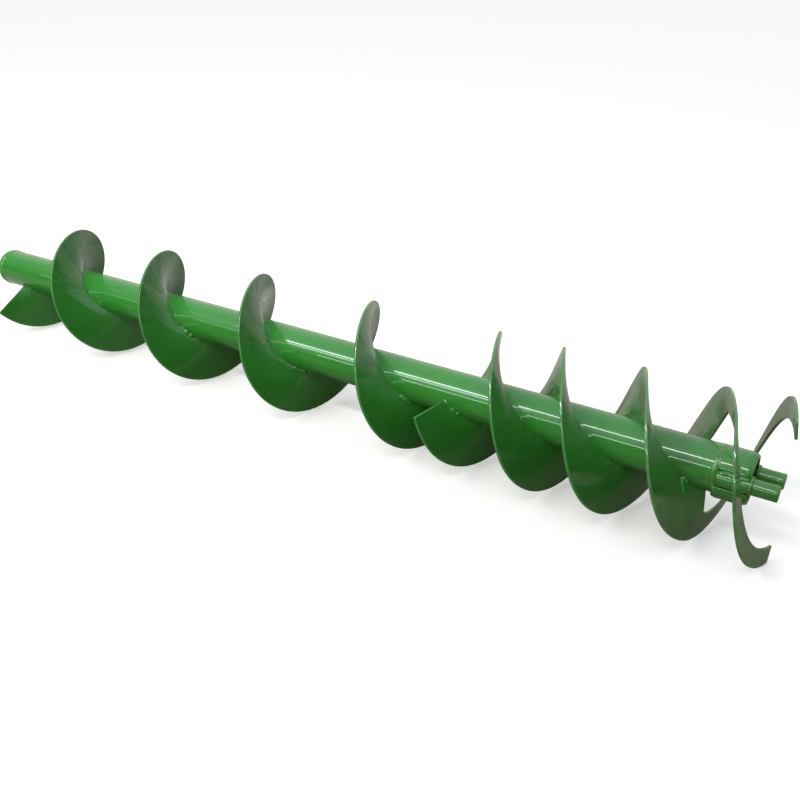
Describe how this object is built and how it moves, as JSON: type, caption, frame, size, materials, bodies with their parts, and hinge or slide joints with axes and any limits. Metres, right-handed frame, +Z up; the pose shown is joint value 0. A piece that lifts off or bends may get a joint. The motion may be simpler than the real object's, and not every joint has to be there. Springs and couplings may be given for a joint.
{
  "type": "soil auger",
  "caption": "Right-handed screw auger on a steel tube, with a second flight start, two open ribbon hooks and a two-bar drive coupling at one end.",
  "frame": {"origin": "centre of the plain end's flat face, on the tube's axis", "axes": "+X along the tube's axis from the plain end to the drive end, +Z up with the drive bars' line 12 degrees from level, +Y completing a right-handed frame"},
  "size_m": [1.7142, 0.2542, 0.2618],
  "materials": {
    "tube_paint": "glossy mid-green enamel, slightly uneven",
    "flight_paint": "glossy mid-green enamel over formed plate, darker edges",
    "coupling_paint": "glossy mid-green enamel, thick around the welds",
    "weld_paint": "green enamel over rippled weld metal"
  },
  "bodies": {
    "root": {"core_tube": "tube_paint", "coupling_base_plate": "coupling_paint", "drive_end_weld_ring": "weld_paint", "first_flight_hook": "flight_paint", "first_flight_turn_1": "flight_paint", "first_flight_turn_2": "flight_paint", "first_flight_turn_3": "flight_paint", "first_flight_turn_4": "flight_paint", "first_flight_turn_5": "flight_paint", "first_flight_turn_6": "flight_paint", "front_bar_weld_collar": "weld_paint", "front_drive_bar": "coupling_paint", "lower_half_shell": "coupling_paint", "plain_end_cap": "tube_paint", "plain_end_weld_ring": "weld_paint", "rear_bar_weld_collar": "weld_paint", "rear_drive_bar": "coupling_paint", "second_flight_hook": "flight_paint", "second_flight_turn_1": "flight_paint", "second_flight_turn_2": "flight_paint", "upper_half_shell": "coupling_paint"}
  },
  "joints": []
}
